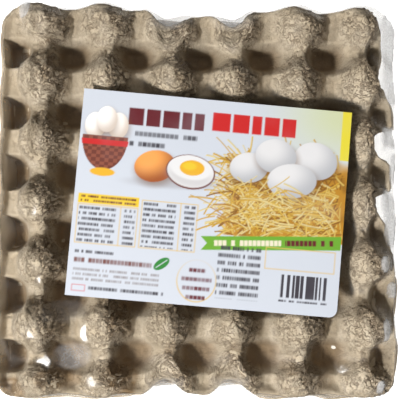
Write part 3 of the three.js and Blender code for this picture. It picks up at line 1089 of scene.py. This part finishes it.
def lay_ribbon(sheet):
    """A green ribbon with a swallow tail and pale and dark small print."""
    along, below = sheet.turned((94, 104.5), -4.6)
    tail = np.clip((along - 4 + np.abs(below) * 0.9) / INK_EDGE, 0, 1)
    ribbon = sheet.span(below, -5, 5) * tail * (sheet.across < 195)
    sheet.lay(GREEN, ribbon)
    letters = sheet.span(below, -2, 2) * sheet.span(along / 3.1 % 1, 0.05, 0.9, 0.25)
    letters = letters * (scatter_at(along / 3.1, 0, 15) < 0.8)
    sheet.lay(CREAM, letters * sheet.span(along, 9, 58))
    sheet.lay(MAROON, letters * sheet.span(along, 61, 96))


def lay_tables(sheet):
    """Two ruled tables under a yellow heading."""
    sheet.lay(YELLOW, sheet.box(3, 76, 47, 83))
    sheet.words(BROWN, 5, 76.6, 45, 82.6, 3, 1.6, 31)
    for left, right, top, bottom, salt in ((3, 47, 83.5, 112, 40), (49, 90, 77, 112, 60)):
        sheet.lay(GOLD, sheet.frame(left, top, right, bottom) * 0.8)
        sheet.lay(GOLD, sheet.box(right - 13, top, right - 12.3, bottom) * 0.8)
        sheet.words(INK, left + 1.5, top + 1, right - 16, bottom - 1, 3.9, 1.5, salt)
        sheet.words(INK, right - 10, top + 1, right - 2, bottom - 1, 3.9, 1.7, salt + 7)


def lay_foot(sheet):
    """Address place, leaf, ring, rows of small print, ruled box and bars."""
    sheet.words(INK, 4, 116, 32, 120, 4, 1.6, 71)
    sheet.words(BROWN, 4, 121, 60, 127.5, 6.4, 2.6, 75)
    sheet.words(SHADOW, 4, 129, 66, 140, 3.5, 1.3, 79)
    sheet.lay(RED, sheet.frame(4, 141.5, 14, 146.5) * 0.6)
    sheet.words(INK, 16, 141.5, 70, 146, 4.6, 2.1, 85)
    sheet.lay(LEAF, sheet.oval((67, 122), (6.5, 3.4), -38))
    vein = sheet.span(sheet.turned((67, 122), -38)[1], -0.3, 0.3)
    sheet.lay(PAPER, vein * sheet.oval((67, 122), (5, 3), -38))
    ring = sheet.oval_reach((93, 132), (14.5, 15.5))
    sheet.lay(GOLD, sheet.span(ring, 0.94, 1.0, 0.04) * smooth_step(sheet.down, 110, 140) * 0.8)
    for top, left, right in ((122, 87, 99), (128.5, 82, 104), (135, 83, 103), (141.5, 86, 100)):
        sheet.words(MAROON, left, top, right, top + 5.4, 5.4, 2.9, int(top), 1.0)
    sheet.words(INK, 107, 104, 138, 143, 5.4, 1.7, 91)
    sheet.lay(GOLD, sheet.frame(141, 103, 192, 119) * 0.8)
    bars = scatter_at(sheet.across / 0.8, 0, 3) < 0.55
    sheet.lay(INK, sheet.box(154, 122, 187, 138.5) * bars)
    sheet.words(INK, 153, 139.6, 188, 142.4, 2.8, 1.9, 97)


def card_bow(places):
    """How far below its highest the card lies at each place: it is bowed between the posts."""
    wide = lumps(places, (60 * MM, 45 * MM, 1), 3)
    return np.clip(wide, -1, 1) * CARD_BOW - CARD_SINK


def shape_card(sheet, drop):
    """Rounds one corner, bows the sheet and sets it where the card lies."""
    centre = (CARD_LOW + CARD_HIGH) / 2
    places = places_of(sheet)
    inner = np.array([CARD_LENGTH / 2 - CARD_CORNER, CARD_CORNER - CARD_WIDTH / 2])
    over = np.stack([places[:, 0] - inner[0], inner[1] - places[:, 1]], 1)
    at_corner = (over > 0).all(1)
    scale = np.max(over, axis=1) / np.maximum(np.hypot(over[:, 0], over[:, 1]), 1e-9)
    places[:, 0] = np.where(at_corner, inner[0] + over[:, 0] * scale, places[:, 0])
    places[:, 1] = np.where(at_corner, inner[1] - over[:, 1] * scale, places[:, 1])
    places[:, 2] = CARD_HIGH.z + card_bow(places) - drop
    set_places(sheet, places)
    turn = Matrix.Rotation(CARD_TURN, 4, "Z")
    sheet.data.transform(Matrix.Translation((centre.x, centre.y, 0)) @ turn)


def make_card():
    """The printed card: a fine upper face that carries the inks, over a plain lower one."""
    card = new_grid("card", CARD_LENGTH, CARD_WIDTH, *CARD_STEPS)
    places = places_of(card)
    sheet = Sheet((places[:, 0] + CARD_LENGTH / 2) / MM, (CARD_WIDTH / 2 - places[:, 1]) / MM)
    for lay_part in (lay_field, lay_title, lay_bowl, lay_ribbon, lay_tables, lay_foot):
        lay_part(sheet)
    shape_card(card, 0)
    inks = card.data.color_attributes.new("print", "FLOAT_COLOR", "POINT")
    inks.data.foreach_set("color", np.column_stack([sheet.inks, np.ones(len(places))]).reshape(-1))
    under = new_grid("card_under", CARD_LENGTH, CARD_WIDTH, 40, 30)
    shape_card(under, CARD_THICKNESS)
    under.data.flip_normals()
    close_rim(card, under)
    card.data.materials.append(PRINT)
    shade_smooth(card)
    bpy.ops.object.shade_smooth_by_angle(angle=math.radians(40))
    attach(card, "root")
    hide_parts("label_card")


# ---- studio

CAMERA_PLACE = Vector((-0.032, -0.066, 0.923))
CAMERA_AIM = Vector((0.0003, 0.0002, 0.095))
CAMERA_ROLL = 0.0055
CAMERA_LENS = 103.4
LAMP_AIM = Vector((0, 0, 0.05))
# The surroundings: their tone, and a glow that fades from the first height to the second.
WORLD_TONE = (1.0, 0.975, 0.94)
WORLD_GLOW = (("From Min", 0.1), ("From Max", 0.6), ("To Min", 0.40), ("To Max", 0.03))


def make_studio():
    """Floor, camera and lamps."""
    bpy.ops.object.select_all(action="DESELECT")
    bpy.ops.mesh.primitive_plane_add(size=4)
    floor = bpy.context.object
    floor.name = "floor"
    floor.data.materials.append(pale_floor())

    view = (CAMERA_AIM - CAMERA_PLACE).normalized()
    right = view.cross(Vector((0, 1, 0))).normalized()
    up = right.cross(view)
    cos, sin = math.cos(CAMERA_ROLL), math.sin(CAMERA_ROLL)
    side, head = right * cos + up * sin, up * cos - right * sin
    camera = bpy.data.objects.new("camera", bpy.data.cameras.new("camera"))
    bpy.context.collection.objects.link(camera)
    turn = Matrix((side, head, -view)).transposed().to_4x4()
    camera.matrix_world = Matrix.Translation(CAMERA_PLACE) @ turn
    camera.data.lens = CAMERA_LENS
    camera.data.sensor_width = 36
    bpy.context.scene.camera = camera
    bpy.context.scene.view_settings.view_transform = "Standard"

    for name, place, size, power, tone in (
        ("key_light", (-0.92, -0.78, 1.52), 0.28, 58, (1.0, 0.985, 0.955)),
        ("sky_light", (0.2, 0.2, 1.6), 2.4, 9, (1.0, 0.97, 0.92)),
    ):
        lamp = bpy.data.objects.new(name, bpy.data.lights.new(name, "AREA"))
        bpy.context.collection.objects.link(lamp)
        lamp.location = place
        toward = LAMP_AIM - Vector(place)
        lamp.rotation_euler = toward.to_track_quat("-Z", "Y").to_euler()
        lamp.data.size = size
        lamp.data.energy = power
        lamp.data.color = tone
        lamp.visible_glossy = name == "key_light"


def make_world():
    """Surroundings that glow near the floor and are dim overhead."""
    world = bpy.data.worlds.new("studio")
    world.use_nodes = True
    nodes, links = world.node_tree.nodes, world.node_tree.links
    direction = nodes.new("ShaderNodeTexCoord")
    height = nodes.new("ShaderNodeSeparateXYZ")
    dusk = nodes.new("ShaderNodeMapRange")
    dusk.interpolation_type = "SMOOTHSTEP"
    for socket, value in WORLD_GLOW:
        dusk.inputs[socket].default_value = value
    links.new(direction.outputs["Generated"], height.inputs[0])
    links.new(height.outputs["Z"], dusk.inputs["Value"])
    links.new(dusk.outputs["Result"], nodes["Background"].inputs["Strength"])
    nodes["Background"].inputs["Color"].default_value = (*WORLD_TONE, 1)
    bpy.context.scene.world = world


PULP = moulded_pulp()
SHELL = egg_shell()
FILM = clear_film()
PRINT = printed_card()

make_studio()
make_world()
cover_posts = make_tray(
    "cover_tray", steps=288, under_steps=72, seed=4, lift=COVER_LIFT, is_cover=True
)
make_tray("base_tray", steps=140, under_steps=70, seed=9, lift=BASE_LIFT, is_cover=False)
make_eggs()
make_film(cover_posts)
make_card()
